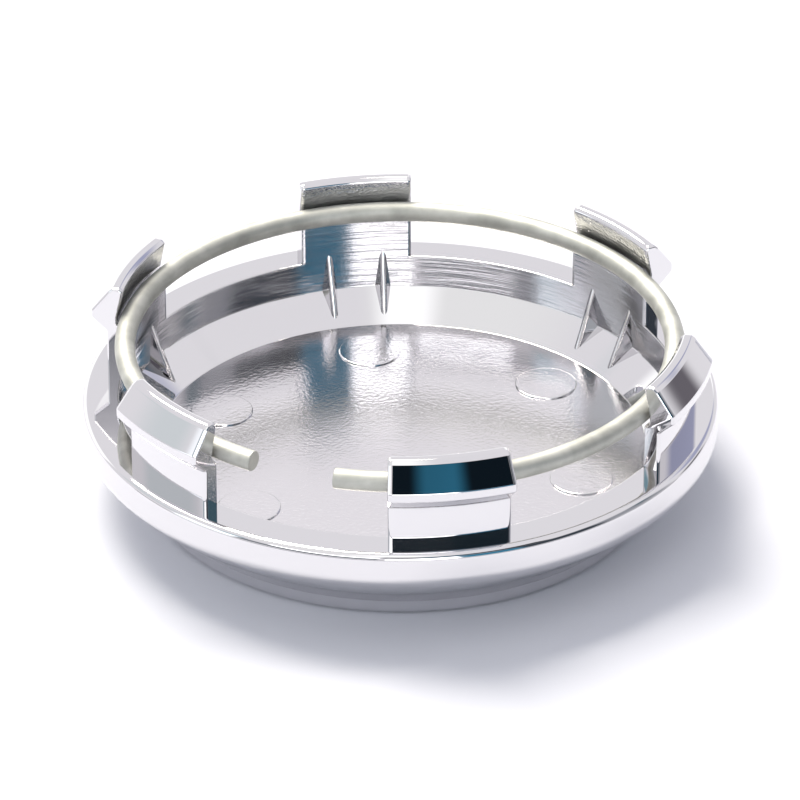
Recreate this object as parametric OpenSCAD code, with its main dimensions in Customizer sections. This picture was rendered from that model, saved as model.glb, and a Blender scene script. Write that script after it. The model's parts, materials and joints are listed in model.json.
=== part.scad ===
// Wheel centre cap, back up: one plated moulding with snap clips, and the open
// wire ring that springs the clips outwards. All sizes are in millimetres.
// Z is the cap's axis and points to the wheel side. The bead of the face rests
// on z = 0, and the middle of the first clip is on -Y.

/* [Rim] */
// Outer diameter of the rim band
rim_diameter = 75; // [70:1:82]
// Height of the flat back face, which seats on the wheel, above the bead
seat_height = 12.5; // [11.9:0.1:13.5]
// Thickness of the rim from the band to the inner wall
rim_wall = 4.5; // [4.2:0.1:5]
// Radius that rounds the band into the cone
rim_round = 2.4; // [1.6:0.1:2.6]
// Radius on the outer corner of the back face
back_round = 0.9; // [0.3:0.1:1]

/* [Face] */
// Width of the sloping cone, measured square to the axis
cone_width = 7.4; // [6.8:0.1:7.8]
// Slope of the cone above the face, in degrees
cone_angle = 41; // [39:1:43]
// Wall of the cone, measured square to its surface
cone_wall = 3; // [2.8:0.1:3.4]
// Width of the half-round bead around the face
bead_width = 2.4; // [2:0.1:2.8]
// Depth of the face below the top of the bead
face_depth = 1.8; // [1.5:0.1:2]
// Depth of the groove where the cone meets the bead, from the top of the bead
groove_depth = 2; // [1.9:0.1:2.2]
// Thickness of the face
face_thickness = 3.3; // [2.8:0.1:3.6]
// Width of the low step just inside the bead
step_width = 0.6; // [0.4:0.1:1]
// Height of the low step just inside the bead
step_height = 0.3; // [0.2:0.1:0.5]

/* [Cup] */
// Diameter of the ejector-pin pads
pad_diameter = 7.4; // [6:0.2:8]
// Height of the ejector-pin pads
pad_height = 0.2; // [0.1:0.05:0.5]
// Distance of the pads from the axis
pad_radius = 22.7; // [19:0.1:23.5]

/* [Clips] */
// Number of snap clips
clip_count = 6; // [5:1:7]
// Width of a clip at the outside of its stem
clip_width = 14.2; // [11:0.2:16]
// Thickness of a clip's stem
clip_wall = 2.1; // [1.9:0.1:2.3]
// Height of the neck above the back face
neck_height = 4.9; // [4:0.1:6]
// How far the barb stands out from the stem
barb_reach = 1.8; // [1.2:0.1:1.9]
// Height of the slope below the barb
barb_slope = 1.7; // [1.2:0.1:2]
// Height of the upright lip of the barb
barb_lip = 1; // [0.6:0.1:1.4]
// Height of the lead-in above the barb
lead_height = 3.1; // [2.6:0.1:3.6]
// How far the top of the lead-in stands inside the outside of the stem
lead_inset = 0.3; // [0:0.1:0.5]
// How far a clip's tip leans in over the wire
tip_lean = 0.75; // [0.5:0.05:0.9]
// Radius on the two top corners of a clip, seen from outside
tip_corner = 0.8; // [0.4:0.1:1.2]

/* [Gussets] */
// Distance between the two gussets behind a clip
gusset_spacing = 6.6; // [5:0.2:8]
// Width of a gusset's rounded crest
gusset_crest = 0.9; // [0.6:0.1:1.2]
// Draft of a gusset's two sides, in degrees
gusset_draft = 20; // [8:1:24]
// How far a gusset's top stands above the back face
gusset_rise = 0.7; // [0:0.1:1.5]
// How far a gusset's toe reaches in from the inner wall
gusset_reach = 2.9; // [2.4:0.1:3.2]

/* [Retaining ring] */
// Diameter of the spring wire
wire_diameter = 2.4; // [2:0.1:2.6]
// Gap left between the wire and its seat in the clips
ring_clearance = 0.3; // [0.2:0.05:0.4]
// Depth of the wire seat behind the barb
seat_depth = 0.7; // [0.5:0.05:0.9]
// Height of the wire above the neck of the clips
ring_rise = 1.7; // [1.6:0.1:2.4]
// Opening of the ring, in degrees
ring_gap_angle = 17.7; // [10:0.5:20]
// Middle of the opening, in degrees from the first clip
ring_gap_middle = 31.5; // [28:0.5:33]

/* [Part] */
// Node to draw

/* [Hidden] */
$fn = 96;
joint = 0.2;
rim_r = rim_diameter / 2;
inner_r = rim_r - rim_wall;
bead_outer_r = rim_r - cone_width;
bead_mid_r = bead_outer_r - bead_width / 2;
face_r = bead_outer_r - bead_width;
floor_z = face_depth + face_thickness;
corner_z = groove_depth + cone_width * tan(cone_angle);
floor_r = rim_r - (corner_z + cone_wall / cos(cone_angle) - floor_z) / tan(cone_angle);
round_reach = rim_round * tan((90 - cone_angle) / 2);
stem_r = inner_r + clip_wall;
clip_angle = 2 * asin(clip_width / 2 / stem_r);
neck_z = seat_height + neck_height;
barb_r = stem_r + barb_reach;
barb_low_z = neck_z + barb_slope;
barb_high_z = barb_low_z + barb_lip;
tip_z = barb_high_z + lead_height;
lead_r = stem_r - lead_inset;
wire_r = wire_diameter / 2;
seat_r = inner_r + seat_depth;
ring_r = seat_r - ring_clearance - wire_r;
ring_z = neck_z + ring_rise;
seat_room = wire_r + ring_clearance;
tip_inner_r = seat_r - tip_lean;
corner_inset = tip_corner - 0.05;

// Height of the cone's inside surface at radius r
function cone_inside(r) = corner_z - (rim_r - r) * tan(cone_angle) + cone_wall / cos(cone_angle);

// Height of the shelf under the wire at radius r, a 45 degree line that clears the wire
function shelf_z(r) = ring_z + (r - ring_r) - seat_room * sqrt(2);

// The corner between the band and the cone, less the round
module rim_corner_waste() {
  low_r = rim_r - round_reach * cos(cone_angle);
  low_z = corner_z - round_reach * sin(cone_angle);
  difference() {
    polygon([
      [rim_r + 1, corner_z + round_reach],
      [rim_r - rim_round, corner_z + round_reach],
      [low_r, low_z],
      [low_r + sin(cone_angle), low_z - cos(cone_angle)],
      [rim_r + 1, corner_z - 2]
    ]);
    translate([rim_r - rim_round, corner_z + round_reach])
      circle(r = rim_round);
  }
}

// The outer corner of the back face, less its round
module back_corner_waste() {
  difference() {
    translate([rim_r - back_round, seat_height - back_round])
      square([back_round + 1, back_round + 1]);
    translate([rim_r - back_round, seat_height - back_round])
      circle(r = back_round);
  }
}

// Half of the shell's section through a clip, before it is turned about the axis.
// Its upper part is the clip: stem, barb, lead-in, leaning tip and wire seat.
module shell_section() {
  difference() {
    union() {
      polygon([
        [0, face_depth],
        [face_r - step_width, face_depth],
        [face_r - step_width, face_depth - step_height],
        [face_r, face_depth - step_height],
        [face_r, bead_width / 2],
        [bead_outer_r, bead_width / 2],
        [bead_outer_r, groove_depth],
        [rim_r, corner_z],
        [rim_r, seat_height],
        [stem_r, seat_height],
        [stem_r, neck_z],
        [barb_r, barb_low_z],
        [barb_r, barb_high_z],
        [lead_r, tip_z - 0.4],
        [lead_r - 0.5, tip_z],
        [tip_inner_r + 0.5, tip_z],
        [tip_inner_r, tip_z - 0.4],
        [seat_r, ring_z + 0.2],
        [seat_r, shelf_z(seat_r)],
        [inner_r, shelf_z(inner_r)],
        [inner_r, cone_inside(inner_r)],
        [floor_r, floor_z],
        [0, floor_z]
      ]);
      translate([bead_mid_r, bead_width / 2])
        circle(d = bead_width);
    }
    rim_corner_waste();
    back_corner_waste();
  }
}

// The gap between the first clip and the next, down to the back face
module clip_gap() {
  rotate([0, 0, -90 + clip_angle / 2])
    rotate_extrude(angle = 360 / clip_count - clip_angle)
      translate([inner_r - 3, seat_height])
        square([barb_r - inner_r + 6, tip_z - seat_height + 1]);
}

// What a rounded top corner leaves outside it at the end of a clip, on +X. The
// circle stands a little out of the end and the top, so that it crosses them.
module tip_corner_waste(side) {
  translate([inner_r - 2, 0, tip_z])
    rotate([90, 0, 90])
      linear_extrude(height = barb_r - inner_r + 4)
        difference() {
          translate([side > 0 ? -tip_corner : -0.5, -tip_corner])
            square([tip_corner + 0.5, tip_corner + 0.5]);
          translate([-side * corner_inset, -corner_inset])
            circle(r = tip_corner);
        }
}

// What the two rounded top corners of the first clip leave outside them
module clip_corners() {
  for (side = [-1, 1]) {
    rotate([0, 0, -90 + side * clip_angle / 2])
      tip_corner_waste(side);
  }
}

// A gusset's section: a round crest on +X's near side, and two sides that draft
// apart behind it. The sides start a little inside the circle, so that they cross it.
module gusset_section(depth) {
  crest_r = gusset_crest / 2;
  side_x = crest_r - crest_r * sin(gusset_draft);
  side_y = crest_r * cos(gusset_draft) - 0.02;
  spread = (depth - side_x) * tan(gusset_draft);
  union() {
    translate([crest_r, 0])
      circle(r = crest_r);
    polygon([
      [side_x, -side_y],
      [depth, -side_y - spread],
      [depth, side_y + spread],
      [side_x, side_y]
    ]);
  }
}

// One gusset with its crest sloping from the clip down to the cone, on +X
module gusset() {
  toe_r = inner_r - gusset_reach;
  toe_z = cone_inside(toe_r);
  top_z = seat_height + gusset_rise;
  crest_length = norm([gusset_reach, top_z - toe_z]);
  crest_tilt = atan2(gusset_reach, top_z - toe_z);
  translate([toe_r, 0, toe_z])
    rotate([0, crest_tilt, 0])
      translate([0, 0, -0.5])
        linear_extrude(height = crest_length + 0.5 + joint)
          gusset_section(1.9);
}

// The two gussets behind the first clip
module gusset_pair() {
  for (side = [-1, 1]) {
    rotate([0, 0, -90 + side * asin(gusset_spacing / 2 / inner_r)])
      gusset();
  }
}

// One round ejector-pin pad on the cup's floor
module pad() {
  translate([0, -pad_radius, floor_z - joint])
    cylinder(d = pad_diameter, h = pad_height + joint);
}

// The whole moulding
module cap_shell() {
  color([0.80, 0.81, 0.83])
    union() {
      difference() {
        rotate_extrude()
          shell_section();
        for (i = [0 : clip_count - 1]) {
          rotate([0, 0, i * 360 / clip_count]) {
            clip_gap();
            clip_corners();
          }
        }
      }
      for (i = [0 : clip_count - 1]) {
        rotate([0, 0, i * 360 / clip_count]) {
          gusset_pair();
          pad();
        }
      }
    }
}

// The open wire ring that lies in the seats behind the barbs
module retaining_ring() {
  color([0.66, 0.65, 0.60])
    rotate([0, 0, -90 - ring_gap_middle + ring_gap_angle / 2])
      rotate_extrude(angle = 360 - ring_gap_angle)
        translate([ring_r, ring_z])
          circle(r = wire_r);
}

cap_shell();
retaining_ring();
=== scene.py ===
# %% [markdown]
# # A chromed wheel centre cap, back up
#
# The object is the round cap that snaps into the middle of a car wheel, lying
# on its face. It is two pieces: one chrome-plated plastic moulding with six
# barbed clips, and an open ring of spring wire behind the barbs. CAD gives the
# real solids. Here each of them is drawn again with small rounds on every
# edge, because a mirror finish shows each facet and each sharp corner.

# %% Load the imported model
import json
import math

import bpy
import numpy as np
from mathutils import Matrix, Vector

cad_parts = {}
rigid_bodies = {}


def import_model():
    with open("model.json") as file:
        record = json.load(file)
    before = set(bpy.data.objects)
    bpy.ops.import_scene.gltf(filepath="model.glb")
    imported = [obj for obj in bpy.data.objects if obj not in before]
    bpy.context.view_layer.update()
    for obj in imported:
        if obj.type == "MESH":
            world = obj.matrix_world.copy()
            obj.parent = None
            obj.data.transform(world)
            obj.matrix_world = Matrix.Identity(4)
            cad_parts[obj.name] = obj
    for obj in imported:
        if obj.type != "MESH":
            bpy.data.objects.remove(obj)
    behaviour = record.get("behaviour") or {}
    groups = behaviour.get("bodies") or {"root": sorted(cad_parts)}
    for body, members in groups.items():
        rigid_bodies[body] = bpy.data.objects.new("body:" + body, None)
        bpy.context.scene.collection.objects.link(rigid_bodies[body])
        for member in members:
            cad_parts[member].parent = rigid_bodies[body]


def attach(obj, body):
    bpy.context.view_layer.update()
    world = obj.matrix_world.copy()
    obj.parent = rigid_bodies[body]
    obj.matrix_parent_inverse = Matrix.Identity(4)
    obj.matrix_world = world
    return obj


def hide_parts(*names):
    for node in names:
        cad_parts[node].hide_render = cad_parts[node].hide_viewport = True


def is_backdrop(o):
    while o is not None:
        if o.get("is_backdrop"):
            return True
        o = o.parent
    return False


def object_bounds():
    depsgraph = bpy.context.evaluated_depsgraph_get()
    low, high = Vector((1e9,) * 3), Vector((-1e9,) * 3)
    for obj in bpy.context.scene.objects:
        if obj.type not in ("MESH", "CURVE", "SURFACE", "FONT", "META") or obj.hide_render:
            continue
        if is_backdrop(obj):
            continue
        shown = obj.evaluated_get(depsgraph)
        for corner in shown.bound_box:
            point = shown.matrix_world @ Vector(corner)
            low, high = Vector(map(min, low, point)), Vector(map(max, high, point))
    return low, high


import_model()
cad_low, cad_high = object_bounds()

# %% [markdown]
# ## Sizes
#
# All sizes are the real ones in millimetres, the same as in the solids. The
# cap's axis is Z, its face is at the bottom, and the middle of the first clip
# points to -Y. A name that ends in Z is a height, and one that ends in R is a
# radius. Radii are taken from the axis, but for those of the wire, a pad and
# a gusset's crest. A mesh gets its points in metres at the very end.

# %% Sizes that the pieces share
MM = 0.001
RIM_R, INNER_R, STEM_R = 37.5, 33.0, 35.1
SEAT_Z, FLOOR_Z, FACE_Z = 12.5, 5.1, 1.8
GROOVE_R, GROOVE_Z = 30.1, 2.0
CONE_SLOPE = math.radians(41)
CONE_WALL = 3.0
CORNER_Z = GROOVE_Z + (RIM_R - GROOVE_R) * math.tan(CONE_SLOPE)
WIRE_R, RING_R, RING_Z = 1.2, 32.2, 19.1
CLIPS = 6
CLIP_WIDTH = 14.2
CLIP_HALF = math.asin(CLIP_WIDTH / 2 / STEM_R)


def cone_inside(r):
    """Height of the cone's inside at r: the outside's height, plus wall / cos of the slope."""
    return CORNER_Z - (RIM_R - r) * math.tan(CONE_SLOPE) + CONE_WALL / math.cos(CONE_SLOPE)


FLOOR_R = RIM_R - (cone_inside(RIM_R) - FLOOR_Z) / math.tan(CONE_SLOPE)
print("cup floor: %.2f mm across, %.2f mm up" % (2 * FLOOR_R, FLOOR_Z))
print("a clip spans %.1f degrees of the rim" % math.degrees(2 * CLIP_HALF))

# %% [markdown]
# ## Rounded outlines
#
# A moulded and plated edge is never sharp: the steel mould is polished and the
# plating builds up on corners. One function turns a list of corners and radii
# into an outline with a true arc at each corner. It also gives the exact
# direction that each point faces, which the mirror finish needs far more than
# it needs many points.

# %% Corners to an outline with arcs
ARC_STEPS = 8


def rounded(rows, closed=True):
    """Outline with an arc at each corner, and where each point faces. Material is on its left.

    A row is a corner's two coordinates and the radius R of its arc. At a
    corner that turns by t, the arc starts R * tan(t / 2) before it. Its centre
    lies R to the side that the path turns to. The normal turns evenly from the
    one edge's to the other's, and each point is the centre plus or minus R
    times the normal. The end rows of an open outline only direct its edges.
    """
    rows = np.array(rows, float)
    p, r = rows[:, :2], rows[:, 2:]
    before = p - np.roll(p, 1, axis=0)
    after = np.roll(p, -1, axis=0) - p
    if not closed:
        before, after, p, r = before[1:-1], after[1:-1], p[1:-1], r[1:-1]
    before /= np.linalg.norm(before, axis=1, keepdims=True)
    after /= np.linalg.norm(after, axis=1, keepdims=True)
    cross = before[:, 0] * after[:, 1] - before[:, 1] * after[:, 0]
    turn = np.arctan2(cross, (before * after).sum(1))[:, None]
    side = np.sign(turn)
    left = np.stack([-before[:, 1], before[:, 0]], 1)
    centre = p - before * r * np.tan(np.abs(turn) / 2) + left * r * side
    start = np.arctan2(-left[:, 1], -left[:, 0])[:, None]
    angle = start + turn * np.linspace(0, 1, ARC_STEPS + 1)[None, :]
    normal = np.stack([np.cos(angle), np.sin(angle)], 2)
    points = centre[:, None, :] + (r * side)[:, :, None] * normal
    return points.reshape(-1, 2), normal.reshape(-1, 2)


def arc_start(corner):
    """Where the arc of a rounded corner starts in the outline, counting corners from 0."""
    return corner * (ARC_STEPS + 1)


print("points on each arc:", ARC_STEPS + 1)

# %% [markdown]
# ## Meshes from arrays
#
# Every surface below is a grid: one outline, carried along a path. The next
# helpers collect such grids, with a normal for every point, and make one mesh
# of them at the end.

# %% Collect grids
def collection():
    """An empty store for points, normals, faces and each face's material."""
    return {"points": [], "normals": [], "faces": [], "slots": [], "count": 0}


def add_grid(store, points, normals, slots, wrap_u=True, wrap_v=False, caps=()):
    """Adds a grid of points [v, u]. Neighbours in both directions make four-sided faces.

    slots is the material of each strip between outline points u and u + 1.
    caps closes the first or last outline with one flat face: (row, material).
    """
    nv, nu = points.shape[:2]
    index = np.arange(nv * nu).reshape(nv, nu) + store["count"]
    rows = index if not wrap_v else np.vstack([index, index[:1]])
    cols = rows if not wrap_u else np.hstack([rows, rows[:, :1]])
    quads = np.stack([cols[:-1, :-1], cols[1:, :-1], cols[1:, 1:], cols[:-1, 1:]], 2)
    strip = np.broadcast_to(np.asarray(slots)[None, :], quads.shape[:2])
    store["faces"] += quads.reshape(-1, 4).tolist()
    store["slots"] += strip.reshape(-1).tolist()
    for row, slot in caps:
        ring = index[row][::-1] if row else index[row]
        store["faces"].append(ring.tolist())
        store["slots"].append(slot)
    store["points"].append(points.reshape(-1, 3))
    store["normals"].append(normals.reshape(-1, 3))
    store["count"] += nv * nu
    return index


def turned(outline, angles):
    """Points or normals of an outline (r, z) set at each angle a: (r cos a, r sin a, z)."""
    a = np.asarray(angles)[:, None]
    r, z = outline[..., 0], outline[..., 1]
    return np.stack(np.broadcast_arrays(r * np.cos(a), r * np.sin(a), z), 2)


# %% Sweep a section round the axis
def sweep(first, last, count, end_count):
    """Angles of a sweep, with both end angles repeated for the points of an end round.

    The second result runs through that round, from 0 where it leaves the full
    section to 90 degrees at the end's flat. The third is -1 or 1 in an end
    round and 0 between them.
    """
    quarter = np.radians(np.linspace(0, 90, end_count))
    between = np.linspace(first, last, count)[1:-1]
    plain = np.zeros(count - 2)
    angle = np.concatenate([np.full(end_count, first), between, np.full(end_count, last)])
    share = np.concatenate([quarter[::-1], plain, quarter])
    end = np.concatenate([-np.ones(end_count), plain, np.ones(end_count)])
    return angle, share, end


def directions(angles):
    """Away from the axis, (cos a, sin a, 0), and round it, (-sin a, cos a, 0), for each angle a."""
    a = np.asarray(angles)
    radial = np.stack([np.cos(a), np.sin(a), 0 * a], -1)[..., None, :]
    across = np.stack([-np.sin(a), np.cos(a), 0 * a], -1)[..., None, :]
    return radial, across


UP = np.array([0, 0, 1.0])


# %% Make the mesh
def make_object(name, store, materials):
    """One mesh object in metres, with the exact normals of its surfaces."""
    mesh = bpy.data.meshes.new(name)
    points = np.vstack(store["points"]) * MM
    mesh.from_pydata(points, [], store["faces"])
    for material in materials:
        mesh.materials.append(material)
    mesh.polygons.foreach_set("material_index", np.array(store["slots"], np.int32))
    mesh.polygons.foreach_set("use_smooth", np.ones(len(mesh.polygons), bool))
    mesh.update()
    mesh.normals_split_custom_set_from_vertices(np.vstack(store["normals"]))
    thing = bpy.data.objects.new(name, mesh)
    bpy.context.scene.collection.objects.link(thing)
    triangles = sum(len(face) - 2 for face in store["faces"])
    print("%s: %d points, %d triangles" % (name, len(points), triangles))
    return thing


# %% [markdown]
# ## Materials
#
# Decorative chrome is a very thin layer over copper and nickel on ABS plastic,
# so it copies whatever finish the mould has. That is why one moulding shows
# three finishes here. Each is fully metallic and keeps the default IOR, so
# its colour is the tint of what it reflects, and its roughness is how hazy
# that is. A relief reads the piece's own coordinates, which are in metres, so
# its scale comes from how many waves of it fit in a real millimetre.

# %% Colour, scale and node helpers
def srgb(code):
    """A colour from its sRGB hex code, made linear with the standard curve."""
    part = np.array([int(code[i : i + 2], 16) for i in (1, 3, 5)]) / 255
    linear = np.where(part <= 0.04045, part / 12.92, ((part + 0.055) / 1.055) ** 2.4)
    return (*linear.tolist(), 1.0)


def per_mm(count):
    """The noise scale that puts this many waves in a millimetre: the count / 0.001 metres."""
    return count / MM


def node(tree, kind, settings=None, values=None, links=None):
    """Adds one node: settings are its properties, values its sockets, links what feeds them."""
    made = tree.nodes.new(kind)
    for key, value in (settings or {}).items():
        setattr(made, key, value)
    for key, value in (values or {}).items():
        made.inputs[key].default_value = value
    for key, source in (links or {}).items():
        tree.links.new(source, made.inputs[key])
    return made


print("#808080 is %.3f in linear light" % srgb("#808080")[0])


# %% A metal of its own colour and roughness
def metal(name, colour, roughness):
    """A new metal material: its tree, its shader and its object coordinates."""
    material = bpy.data.materials.new(name)
    material.use_nodes = True
    tree = material.node_tree
    shader = tree.nodes["Principled BSDF"]
    shader.inputs["Base Color"].default_value = srgb(colour)
    shader.inputs["Metallic"].default_value = 1.0
    shader.inputs["Roughness"].default_value = roughness
    place = node(tree, "ShaderNodeTexCoord").outputs["Object"]
    print("%s: %s, roughness %.2f" % (name, colour, roughness))
    return material, tree, shader, place


# %% [markdown]
# ## Bright chrome
#
# The face, the rim and the outsides of the clips come from mirror-polished
# steel, so their plate is a true mirror. Only a swell of a thousandth of a
# millimetre is left in it, from the plastic that shrank as it cooled.

# %% Bright chrome plate on polished ABS
def bright_chrome():
    """Mirror chrome. Its only relief is a slow swell, 4 mm from crest to crest."""
    material, tree, shader, place = metal(
        "bright chrome plate on polished ABS", "#DDDCDE", 0.03)
    swell = node(tree, "ShaderNodeTexNoise",
                 values={"Scale": per_mm(0.25), "Detail": 1.0}, links={"Vector": place})
    bump = node(tree, "ShaderNodeBump",
                values={"Strength": 1.0, "Distance": 0.0012 * MM},
                links={"Height": swell.outputs["Fac"]})
    tree.links.new(bump.outputs["Normal"], shader.inputs["Normal"])
    return material


chrome = bright_chrome()

# %% [markdown]
# ## Chrome over lathe marks
#
# The upright inner wall and the insides of the clips are moulded on a turned
# core, and its lathe marks run round them. A noise that is squeezed in height
# draws such marks. The plating comes out coarse at the thin tips, where the
# current was strongest, so a grain takes over there.

# %% Chrome over the turned core of the mould
def turned_chrome():
    """Chrome over marks that are 0.3 mm high and 9 mm long, with a 0.4 mm grain at the tips."""
    material, tree, shader, place = metal(
        "chrome plate over lathe marks of the core", "#D4D3D5", 0.09)
    squeeze = node(tree, "ShaderNodeMapping",
                   values={"Scale": (per_mm(0.11), per_mm(0.11), per_mm(3.0))},
                   links={"Vector": place})
    marks = node(tree, "ShaderNodeTexNoise",
                 values={"Scale": 1.0, "Detail": 2.0, "Roughness": 0.5},
                 links={"Vector": squeeze.outputs["Vector"]})
    lines = node(tree, "ShaderNodeBump",
                 values={"Strength": 1.0, "Distance": 0.034 * MM},
                 links={"Height": marks.outputs["Fac"]})
    height = node(tree, "ShaderNodeSeparateXYZ", links={"Vector": place}).outputs["Z"]
    coarse = node(tree, "ShaderNodeMapRange",
                  values={"From Min": 19.5 * MM, "From Max": 20.5 * MM,
                          "To Min": 0.06, "To Max": 1.0},
                  links={"Value": height})
    grain = node(tree, "ShaderNodeTexNoise",
                 values={"Scale": per_mm(2.5), "Detail": 2.0}, links={"Vector": place})
    bump = node(tree, "ShaderNodeBump",
                values={"Distance": 0.09 * MM},
                links={"Height": grain.outputs["Fac"], "Strength": coarse.outputs["Result"],
                       "Normal": lines.outputs["Normal"]})
    tree.links.new(bump.outputs["Normal"], shader.inputs["Normal"])
    return material


lathe = turned_chrome()

# %% [markdown]
# ## Satin chrome
#
# The floor of the cup was eroded by sparks in the mould, which leaves a fine
# grain, and the chrome over it is a soft, hazy mirror. The real grain is too
# fine to show at this distance, so it is drawn coarser. A slow swell under it
# bends what the floor reflects.

# %% Satin chrome over the eroded floor
def satin_chrome():
    """Chrome with a grain of 0.45 mm, coarser than the real one, over a swell of 3 mm."""
    material, tree, shader, place = metal("satin chrome over eroded ABS", "#DCDADD", 0.15)
    grain = node(tree, "ShaderNodeTexNoise",
                 values={"Scale": per_mm(2.2), "Detail": 3.0}, links={"Vector": place})
    fine = node(tree, "ShaderNodeBump",
                values={"Strength": 1.0, "Distance": 0.03 * MM},
                links={"Height": grain.outputs["Fac"]})
    swell = node(tree, "ShaderNodeTexNoise",
                 values={"Scale": per_mm(0.33), "Detail": 1.0}, links={"Vector": place})
    slow = node(tree, "ShaderNodeBump",
                values={"Strength": 1.0, "Distance": 0.008 * MM},
                links={"Height": swell.outputs["Fac"], "Normal": fine.outputs["Normal"]})
    tree.links.new(slow.outputs["Normal"], shader.inputs["Normal"])
    return material


satin = satin_chrome()

# %% [markdown]
# ## Zinc on spring steel
#
# The ring is drawn spring steel with a thin zinc coat against rust. Zinc dulls
# within weeks to a warm grey in soft patches, far rougher than the chrome
# around it, and that contrast is what tells the two pieces apart.

# %% Galvanised spring steel
def zinc_wire():
    """Dull zinc, in patches of 3 mm between two greys that lie close together."""
    material, tree, shader, place = metal("galvanised spring steel wire", "#BDBEB9", 0.58)
    patches = node(tree, "ShaderNodeTexNoise",
                   values={"Scale": per_mm(0.32), "Detail": 3.0}, links={"Vector": place})
    shade = node(tree, "ShaderNodeValToRGB", links={"Fac": patches.outputs["Fac"]})
    stops = shade.color_ramp.elements
    for stop, position, code in ((stops[0], 0.3, "#A6A7A1"), (stops[1], 0.7, "#C4C5BF")):
        stop.position = position
        stop.color = srgb(code)
    tree.links.new(shade.outputs["Color"], shader.inputs["Base Color"])
    bump = node(tree, "ShaderNodeBump",
                values={"Strength": 1.0, "Distance": 0.01 * MM},
                links={"Height": patches.outputs["Fac"]})
    tree.links.new(bump.outputs["Normal"], shader.inputs["Normal"])
    return material


zinc = zinc_wire()

# %% [markdown]
# ## The turned body
#
# The face, the bead, the cone, the rim, the flat back and the cup are one
# outline turned about the axis. Between the clips the inner wall has a draft of
# one degree, so that the core lets go of it. Under a clip it is upright and its
# edge stays sharp, because the clip's inner face carries on from it.

# %% Outline of the body
MIRROR, LATHE, SATIN = 0, 1, 2
STEP_R, RECESS_R, STEP_HEIGHT = 27.1, 27.7, 0.3
BEAD_ROUND, RIM_ROUND, BACK_ROUND = 1.2, 2.4, 0.9
OPEN_EDGE, COVERED_EDGE, DRAFT_SHIFT = 0.22, 0.004, 0.07
WALL_FOOT = 9


def body_outline(foot, edge):
    """The body's section, and its normals, from the middle of the face to that of the cup.

    foot is the radius of the inner wall at its foot, and edge is the round on
    the wall's top edge. Each row is a corner's radius, height and round.
    """
    return rounded([
        (0, FACE_Z, 0),
        (STEP_R, FACE_Z, 0.1),
        (STEP_R, FACE_Z - STEP_HEIGHT, 0.1),
        (RECESS_R, FACE_Z - STEP_HEIGHT, 0.08),
        (RECESS_R, 0, BEAD_ROUND),
        (GROOVE_R, 0, BEAD_ROUND),
        (GROOVE_R, GROOVE_Z, 0.25),
        (RIM_R, CORNER_Z, RIM_ROUND),
        (RIM_R, SEAT_Z, BACK_ROUND),
        (INNER_R, SEAT_Z, edge),
        (foot, cone_inside(foot), 0.25),
        (FLOOR_R, FLOOR_Z, 0.25),
        (0, FLOOR_Z, 0),
    ], closed=False)


in_gap, in_gap_normal = body_outline(INNER_R - DRAFT_SHIFT, OPEN_EDGE)
under_clip, under_clip_normal = body_outline(INNER_R, COVERED_EDGE)
body_slots = np.full(len(in_gap) - 1, MIRROR)
body_slots[arc_start(WALL_FOOT) - 1 : arc_start(WALL_FOOT + 1) - 1] = LATHE
print("the body's outline has %d points" % len(in_gap))


# %% Turn it about the axis
LAST_COVERED, FIRST_OPEN = 0.5, 0.2


def body_angles():
    """Angles round the axis, and which of them a clip covers.

    In each sixth, the last covered angle and the first open one lie
    LAST_COVERED and FIRST_OPEN degrees inside the clip's end, so the change
    from the one outline to the other is hidden in the clip.
    """
    half, half_pitch = math.degrees(CLIP_HALF), 180 / CLIPS
    covered_part = np.linspace(0, half - LAST_COVERED, 10)
    open_part = np.linspace(half - FIRST_OPEN, half_pitch, 16)
    one = np.concatenate([covered_part, open_part])
    period = np.concatenate([-one[:0:-1], one[:-1]])
    turns = np.arange(CLIPS)[:, None] * 2 * half_pitch
    covered = np.abs(period) < half - (LAST_COVERED + FIRST_OPEN) / 2
    return np.radians((period[None, :] + turns - 90).reshape(-1)), np.tile(covered, CLIPS)


shell = collection()
angles, covered = body_angles()
outline = np.where(covered[:, None, None], under_clip[None], in_gap[None])
facing = np.where(covered[:, None, None], under_clip_normal[None], in_gap_normal[None])
body = add_grid(shell, turned(outline, angles), turned(facing, angles), body_slots,
                wrap_u=False, wrap_v=True)
print("the body is turned through %d angles" % len(angles))


# %% Close the face and the floor of the cup
def close_pole(store, ring, height, up, slot):
    """Closes a flat disc with one middle point and a fan of triangles."""
    middle = store["count"]
    store["points"].append(np.array([[0, 0, height]]))
    store["normals"].append(np.array([UP if up else -UP]))
    store["count"] += 1
    after = np.roll(ring, -1)
    first, second = (ring, after) if up else (after, ring)
    fan = np.stack([first, second, np.full(len(ring), middle)], 1)
    store["faces"] += fan.tolist()
    store["slots"] += [slot] * len(ring)


close_pole(shell, body[:, 0], FACE_Z, False, MIRROR)
close_pole(shell, body[:, -1], FLOOR_Z, True, SATIN)
print("faces of the body:", len(shell["faces"]))

# %% [markdown]
# ## The snap clips
#
# Each clip is an arm that flexes inwards as the cap is pushed home, and its
# barb then springs out behind the edge of the bore. Its section is a closed
# outline: stem, slope, lip, lead-in, leaning tip, and the notch where the
# wire lies. It is carried round the axis through the clip's width. Near each
# end the outline shrinks on a quarter of an ellipse, which rounds the end.

# %% Section of a clip
ROOT_R, ROOT_Z, NECK_Z = 33.3, 11.9, 17.4
BARB_R, LIP_LOW_Z, LIP_HIGH_Z = 36.9, 19.1, 20.1
LEAD_R, TIP_R, TIP_Z = 34.8, 32.95, 23.2
TIP_BEVEL_R, TIP_BEVEL_Z = 0.5, 0.4
NOTCH_R, WIRE_GAP = 33.7, 0.3
NOTCH_TOP, STEM_FOOT = 9, 12


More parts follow.
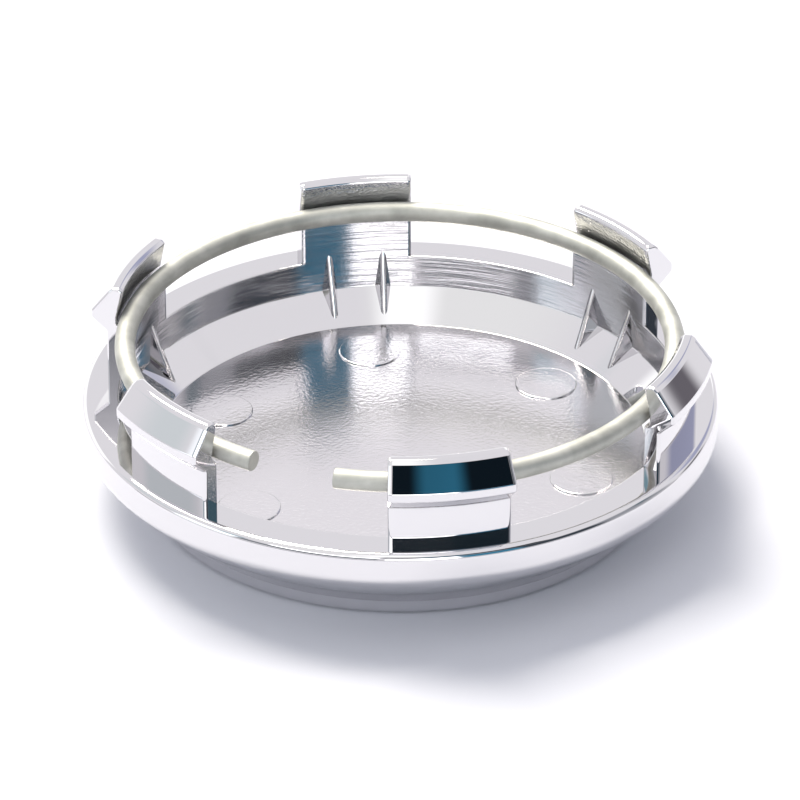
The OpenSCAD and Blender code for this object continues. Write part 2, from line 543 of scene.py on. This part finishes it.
def shelf(r):
    """Height of the shelf under the wire: a 45 degree line that clears the wire by WIRE_GAP."""
    return RING_Z - (WIRE_R + WIRE_GAP) * math.sqrt(2) + r - RING_R


section, section_normal = rounded([
    (ROOT_R, ROOT_Z, 0.3),
    (STEM_R, ROOT_Z, 0.3),
    (STEM_R, NECK_Z, 0.4),
    (BARB_R, LIP_LOW_Z, 0.3),
    (BARB_R, LIP_HIGH_Z, 0.35),
    (LEAD_R, TIP_Z - TIP_BEVEL_Z, 0.5),
    (LEAD_R - TIP_BEVEL_R, TIP_Z, 0.4),
    (TIP_R + TIP_BEVEL_R, TIP_Z, 0.4),
    (TIP_R, TIP_Z - TIP_BEVEL_Z, 0.32),
    (NOTCH_R, RING_Z + 0.2, 1.0),
    (NOTCH_R, shelf(NOTCH_R), 0.4),
    (INNER_R, shelf(INNER_R), 0.3),
    (INNER_R, SEAT_Z, 0.02),
])
section_slots = np.full(len(section), MIRROR)
section_slots[arc_start(NOTCH_TOP) - 1 : arc_start(STEM_FOOT)] = LATHE
print("a clip's section has %d points" % len(section))

# %% The six clips
END_INSET, END_LENGTH = 0.3, 0.55


def add_clip(store, middle):
    """A section carried through the clip's width, with both ends rounded.

    At a share s of the end round, 0 to 90 degrees, the outline lies
    END_INSET * (1 - cos s) inside the full one and END_LENGTH * sin s further
    along. The normal there is the ellipse's.
    """
    half = CLIP_HALF - END_LENGTH / STEM_R
    angle, share, end = sweep(-half, half, count=15, end_count=7)
    radial, across = directions(middle + angle)
    inset = END_INSET * (1 - np.cos(share))
    along = end * END_LENGTH * np.sin(share)
    flat = section[None] - section_normal[None] * inset[:, None, None]
    points = turned(flat, middle + angle) + across * along[:, None, None]
    out = np.cos(share) / END_INSET
    off = end * np.sin(share) / END_LENGTH
    length = np.hypot(out, off)
    base = section_normal[None, :, :1] * radial + section_normal[None, :, 1:] * UP
    normals = base * (out / length)[:, None, None] + across * (off / length)[:, None, None]
    add_grid(store, points, normals, section_slots, caps=((0, MIRROR), (-1, MIRROR)))


clip_middles = np.radians(-90 + 360 / CLIPS * np.arange(CLIPS))
for middle in clip_middles:
    add_clip(shell, middle)
print("faces with the clips:", len(shell["faces"]))

# %% [markdown]
# ## The gussets
#
# Two blades behind each clip keep it from snapping off at its root. Each is a
# narrow ridge that leans from the clip down to the cone, with sides that
# spread so that the part comes out of the mould.

# %% Two gussets for each clip
GUSSET_REACH, GUSSET_RISE, GUSSET_SPACING = 2.9, 0.7, 6.6
CREST_R, GUSSET_DRAFT, GUSSET_DEPTH = 0.45, math.radians(20), 1.9
BURIED_TOE, BURIED_TOP = 0.5, 0.2
toe = np.array([INNER_R - GUSSET_REACH, cone_inside(INNER_R - GUSSET_REACH)])
top = np.array([INNER_R, SEAT_Z + GUSSET_RISE])


def add_gusset(store, middle):
    """A ridge with a round crest: a wedge carried in a straight line from the toe to the clip.

    Each side drafts by 20 degrees. They would meet at a depth of r - r / sin 20,
    which is in front of the crest, and an arc of radius r rounds that tip.
    """
    length = np.linalg.norm(top - toe)
    lean = (top - toe) / length
    inward = np.array([lean[1], -lean[0]])
    tip = CREST_R - CREST_R / math.sin(GUSSET_DRAFT)
    spread = (GUSSET_DEPTH - tip) * math.tan(GUSSET_DRAFT)
    ridge, ridge_normal = rounded([
        (0, tip, CREST_R),
        (spread, GUSSET_DEPTH, 0.05),
        (-spread, GUSSET_DEPTH, 0.05),
    ])
    run = np.array([-BURIED_TOE, length + BURIED_TOP])[:, None]
    radius = toe[0] + lean[0] * run + inward[0] * ridge[None, :, 1]
    height = toe[1] + lean[1] * run + inward[1] * ridge[None, :, 1]
    aside = np.broadcast_to(ridge[None, :, 0], radius.shape)
    radial, across = directions(middle)
    points = radius[..., None] * radial + aside[..., None] * across + height[..., None] * UP
    back = inward[0] * radial + inward[1] * UP
    facing = ridge_normal[:, :1] * across + ridge_normal[:, 1:] * back
    normals = np.broadcast_to(facing[None], points.shape)
    slots = np.full(len(ridge), MIRROR)
    add_grid(store, points, normals, slots, caps=((0, MIRROR), (-1, MIRROR)))


for middle in clip_middles:
    for side in (-1, 1):
        add_gusset(shell, middle + side * math.asin(GUSSET_SPACING / 2 / INNER_R))
print("faces with the gussets:", len(shell["faces"]))

# %% [markdown]
# ## The ejector-pin pads
#
# Six pins push the finished part out of its mould. Each leaves a round, flat
# pad that stands a hair's breadth proud of the floor.

# %% Six low discs
PAD_R, PAD_HEIGHT, PAD_PLACE = 3.7, 0.2, 22.7
BURIED_PAD = 0.1


def add_pad(store, middle):
    """A disc with a rounded edge, from just under the floor to its height above it."""
    low, high = FLOOR_Z - BURIED_PAD, FLOOR_Z + PAD_HEIGHT
    side, side_normal = rounded([
        (0, low, 0),
        (PAD_R, low, 0.05),
        (PAD_R, high, 0.14),
        (0, high, 0),
    ], closed=False)
    around = np.radians(np.arange(0, 360, 5))
    points = turned(side[None], around) + PAD_PLACE * directions(middle)[0]
    index = add_grid(store, points, turned(side_normal[None], around),
                     np.full(len(side) - 1, MIRROR), wrap_u=False, wrap_v=True)
    store["faces"] += [index[::-1, 0].tolist(), index[:, -1].tolist()]
    store["slots"] += [SATIN, SATIN]


for middle in clip_middles:
    add_pad(shell, middle)

plated = make_object("plated_moulding", shell, [chrome, lathe, satin])
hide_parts("cap_shell")
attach(plated, "root")

# %% [markdown]
# ## The wire ring
#
# The ring is a single turn of spring wire with its two ends cut square. It
# lies in the notches behind the barbs and presses the clips outwards.

# %% A circle carried round the axis
OPENING, OPENING_MIDDLE = math.radians(17.7), math.radians(-121.5)
END_NIP = 0.12
ZINC = 0


def add_wire(store):
    """A circle carried round the ring, with the edges of its two ends rounded.

    At a share s of the end round, 0 to 90 degrees, the circle is
    END_NIP * (1 - cos s) smaller and lies END_NIP * (1 - sin s) back from the end.
    """
    first = OPENING_MIDDLE + OPENING / 2
    last = OPENING_MIDDLE - OPENING / 2 + 2 * math.pi
    angle, share, end = sweep(first, last, count=260, end_count=5)
    across = directions(angle)[1]
    around = np.radians(np.arange(0, 360, 12))
    circle = np.stack([np.cos(around), np.sin(around)], 1)
    size = (WIRE_R - END_NIP * (1 - np.cos(share)))[:, None, None]
    ring = circle[None] * size + np.array([RING_R, RING_Z])
    along = end * END_NIP * (np.sin(share) - 1)
    points = turned(ring, angle) + across * along[:, None, None]
    flat = turned(np.broadcast_to(circle[None], ring.shape), angle)
    normals = flat * np.cos(share)[:, None, None] + across * (end * np.sin(share))[:, None, None]
    slots = np.full(len(around), ZINC)
    add_grid(store, points, normals, slots, caps=((0, ZINC), (-1, ZINC)))


wire = collection()
add_wire(wire)
spring = make_object("spring_wire_ring", wire, [zinc])
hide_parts("retaining_ring")
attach(spring, "root")

# %% [markdown]
# ## The floor
#
# The cap lies on a sheet of white paper that is much larger than the picture.
# It is modelled a little darker than white, because the lamp brings it up to
# white and its shaded part has to keep a grey.

# %% A pale floor
FLOOR_HALF = 3
signs = ((-1, -1), (1, -1), (1, 1), (-1, 1))
floor_corners = [(x * FLOOR_HALF, y * FLOOR_HALF, 0) for x, y in signs]
floor_mesh = bpy.data.meshes.new("white sweep")
floor_mesh.from_pydata(floor_corners, [], [(0, 1, 2, 3)])
floor = bpy.data.objects.new("white sweep", floor_mesh)
bpy.context.scene.collection.objects.link(floor)
paper = bpy.data.materials.new("white paper")
paper.use_nodes = True
paper_shader = paper.node_tree.nodes["Principled BSDF"]
paper_shader.inputs["Base Color"].default_value = srgb("#CBCDD5")
paper_shader.inputs["Roughness"].default_value = 0.9
floor_mesh.materials.append(paper)
floor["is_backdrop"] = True
print("the floor is %d m across" % (2 * FLOOR_HALF))

# %% [markdown]
# ## The room
#
# A mirror has no look of its own: it shows the room. A photographer places
# white boards and dark flags round a chromed part until its edges read well.
# Here the world does that: a pale studio, with lit and dark panels in it.
# Each panel has a place on the sky, so no object stands in the scene.

# %% Bearing and rise of a direction
world = bpy.data.worlds.new("studio")
bpy.context.scene.world = world
world.use_nodes = True
sky = world.node_tree
look = node(sky, "ShaderNodeTexCoord").outputs["Generated"]
parts = node(sky, "ShaderNodeSeparateXYZ", links={"Vector": look}).outputs
behind = node(sky, "ShaderNodeMath", {"operation": "MULTIPLY"}, {1: -1.0}, {0: parts["Y"]})
bearing = node(sky, "ShaderNodeMath", {"operation": "ARCTAN2"},
               links={0: parts["X"], 1: behind.outputs[0]}).outputs[0]
rise = node(sky, "ShaderNodeMath", {"operation": "ARCSINE"}, links={0: parts["Z"]}).outputs[0]


def panel(bearings, rises, soft):
    """1 inside a panel and 0 outside: the product of four smooth steps, one for each edge."""
    mask = None
    for source, (low, high) in ((bearing, bearings), (rise, rises)):
        for edge, half in ((low, soft), (high, -soft)):
            span = {"From Min": math.radians(edge - half), "From Max": math.radians(edge + half)}
            step = node(sky, "ShaderNodeMapRange", {"interpolation_type": "SMOOTHSTEP"},
                        span, {"Value": source}).outputs["Result"]
            if mask is None:
                mask = step
            else:
                mask = node(sky, "ShaderNodeMath", {"operation": "MULTIPLY"},
                            links={0: mask, 1: step}).outputs[0]
    return mask


# %% Panels of the room
# A row is a panel's bearings from -Y towards +X, its rises, the softness of its
# edges, all in degrees, its colour, and how many times brighter than that it
# glows. A later panel covers an earlier one.
ROOM = [
    # the dark foot of the walls in front and at the sides
    ((-110, 98), (-4, 3), 1.5, "#4A5058", 1.0),
    # the lit wall at the back, whose halves meet at 180
    ((150, 200), (4, 25), 2, "#FFFFFF", 1.4),
    ((-200, -130), (4, 25), 2, "#FFFFFF", 1.4),
    # a pale board at the left, and white boards overhead
    ((-125, -95), (20, 36), 4, "#E2E8EB", 1.0),
    ((-110, 12), (50, 88), 12, "#FFFFFF", 1.0),
    ((-34, 6), (50, 80), 10, "#FFFFFF", 1.35),
    # at the front left, a grey board under a strip of light
    ((-75, -17), (12, 29.9), 1, "#8E9298", 1.0),
    ((-58, -17), (31, 38), 0.8, "#FFFFFF", 3.4),
    # a tall softbox in front, and at the left a cold window with a blue blind over it
    ((-14, 11), (6, 29.6), 1, "#FFFFFF", 4.0),
    ((-92, -68), (6, 30), 2, "#F4FBFF", 1.8),
    ((-79, -68), (30.4, 37), 0.6, "#8DB0BC", 1.0),
    # a lilac board at the back right, a grey one with a dark pane, and a low grey step
    ((117, 150), (24, 38), 4, "#B2B5D0", 1.0),
    ((64, 96), (8, 38), 5, "#94969C", 1.25),
    ((85, 93), (27, 36), 2, "#4E6A76", 1.0),
    ((103, 118), (5, 16), 4, "#716D74", 1.0),
    # a dark flag and a blue one at the front right
    ((30, 66), (8, 38), 4, "#3C424A", 1.25),
    ((11, 33), (8, 36), 3, "#2A6078", 2.2),
    # a black flag above the camera, its lower lip, and blue light on it
    ((-16, 50), (38, 50), 2, "#101A22", 1.0),
    ((-16, 46), (30.2, 33.2), 0.8, "#222C33", 1.0),
    ((-2, 16), (39, 46.5), 4, "#2E6C88", 1.1),
]
colour = node(sky, "ShaderNodeRGB").outputs[0]
colour.default_value = srgb("#F6F4F8")
for bearings, rises, soft, code, glow in ROOM:
    mask = panel(bearings, rises, soft)
    mix = node(sky, "ShaderNodeMix", {"data_type": "RGBA"}, links={"Factor": mask, "A": colour})
    mix.inputs["B"].default_value = [part * glow for part in srgb(code)]
    colour = mix.outputs["Result"]
background = sky.nodes["Background"]
sky.links.new(colour, background.inputs["Color"])
background.inputs["Strength"].default_value = 1.05
print("panels in the room:", len(ROOM))

# %% [markdown]
# ## The lamp
#
# One softbox hangs behind the cap and to its left, so the shadow falls to the
# front and stays short and soft. From where it hangs, no flat part of the cap
# throws it straight into the camera.

# %% One softbox
LAMP_PLACE = Vector((-0.26, 0.64, 1.1))
lamp_data = bpy.data.lights.new("softbox at the back left", "AREA")
lamp_data.size = 0.7
lamp_data.energy = 25
lamp_data.color = srgb("#FFF8EC")[:3]
lamp = bpy.data.objects.new("softbox at the back left", lamp_data)
lamp.location = LAMP_PLACE
lamp.rotation_euler = (-LAMP_PLACE).to_track_quat("-Z", "Y").to_euler()
bpy.context.scene.collection.objects.link(lamp)
print("the lamp is %.2f m away" % LAMP_PLACE.length)

# %% [markdown]
# ## The camera
#
# It stands in front and a little to the left and looks down by about 30
# degrees. It is ten widths of the cap away and has a long lens, so the far
# clips look hardly smaller than the near ones.

# %% The camera
EYE = Vector((-0.1041, -0.6286, 0.3780))
AIM = Vector((0.0, 0.0, 0.0112))
camera_data = bpy.data.cameras.new("camera")
camera_data.lens = 281
camera_data.sensor_width = 36
camera = bpy.data.objects.new("camera", camera_data)
camera.location = EYE
camera.rotation_euler = (AIM - EYE).to_track_quat("-Z", "Y").to_euler()
bpy.context.scene.collection.objects.link(camera)
bpy.context.scene.camera = camera
bpy.context.scene.view_settings.view_transform = "Standard"
looks_down = math.degrees(math.asin((EYE - AIM).z / (EYE - AIM).length))
print("camera: %.2f m away, looks down by %.1f degrees" % ((EYE - AIM).length, looks_down))

# %% [markdown]
#
# The box round the dressed pieces is written down next to the box round the
# solids. They differ by a few thousandths of a millimetre, because the solids
# come as flat facets that cut the circles' corners a little.

# %% Write the sizes and finish
low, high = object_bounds()
over = [round((a - b) / MM, 3) for a, b in zip(high - low, cad_high - cad_low)]
print("size over CAD in mm:", over)
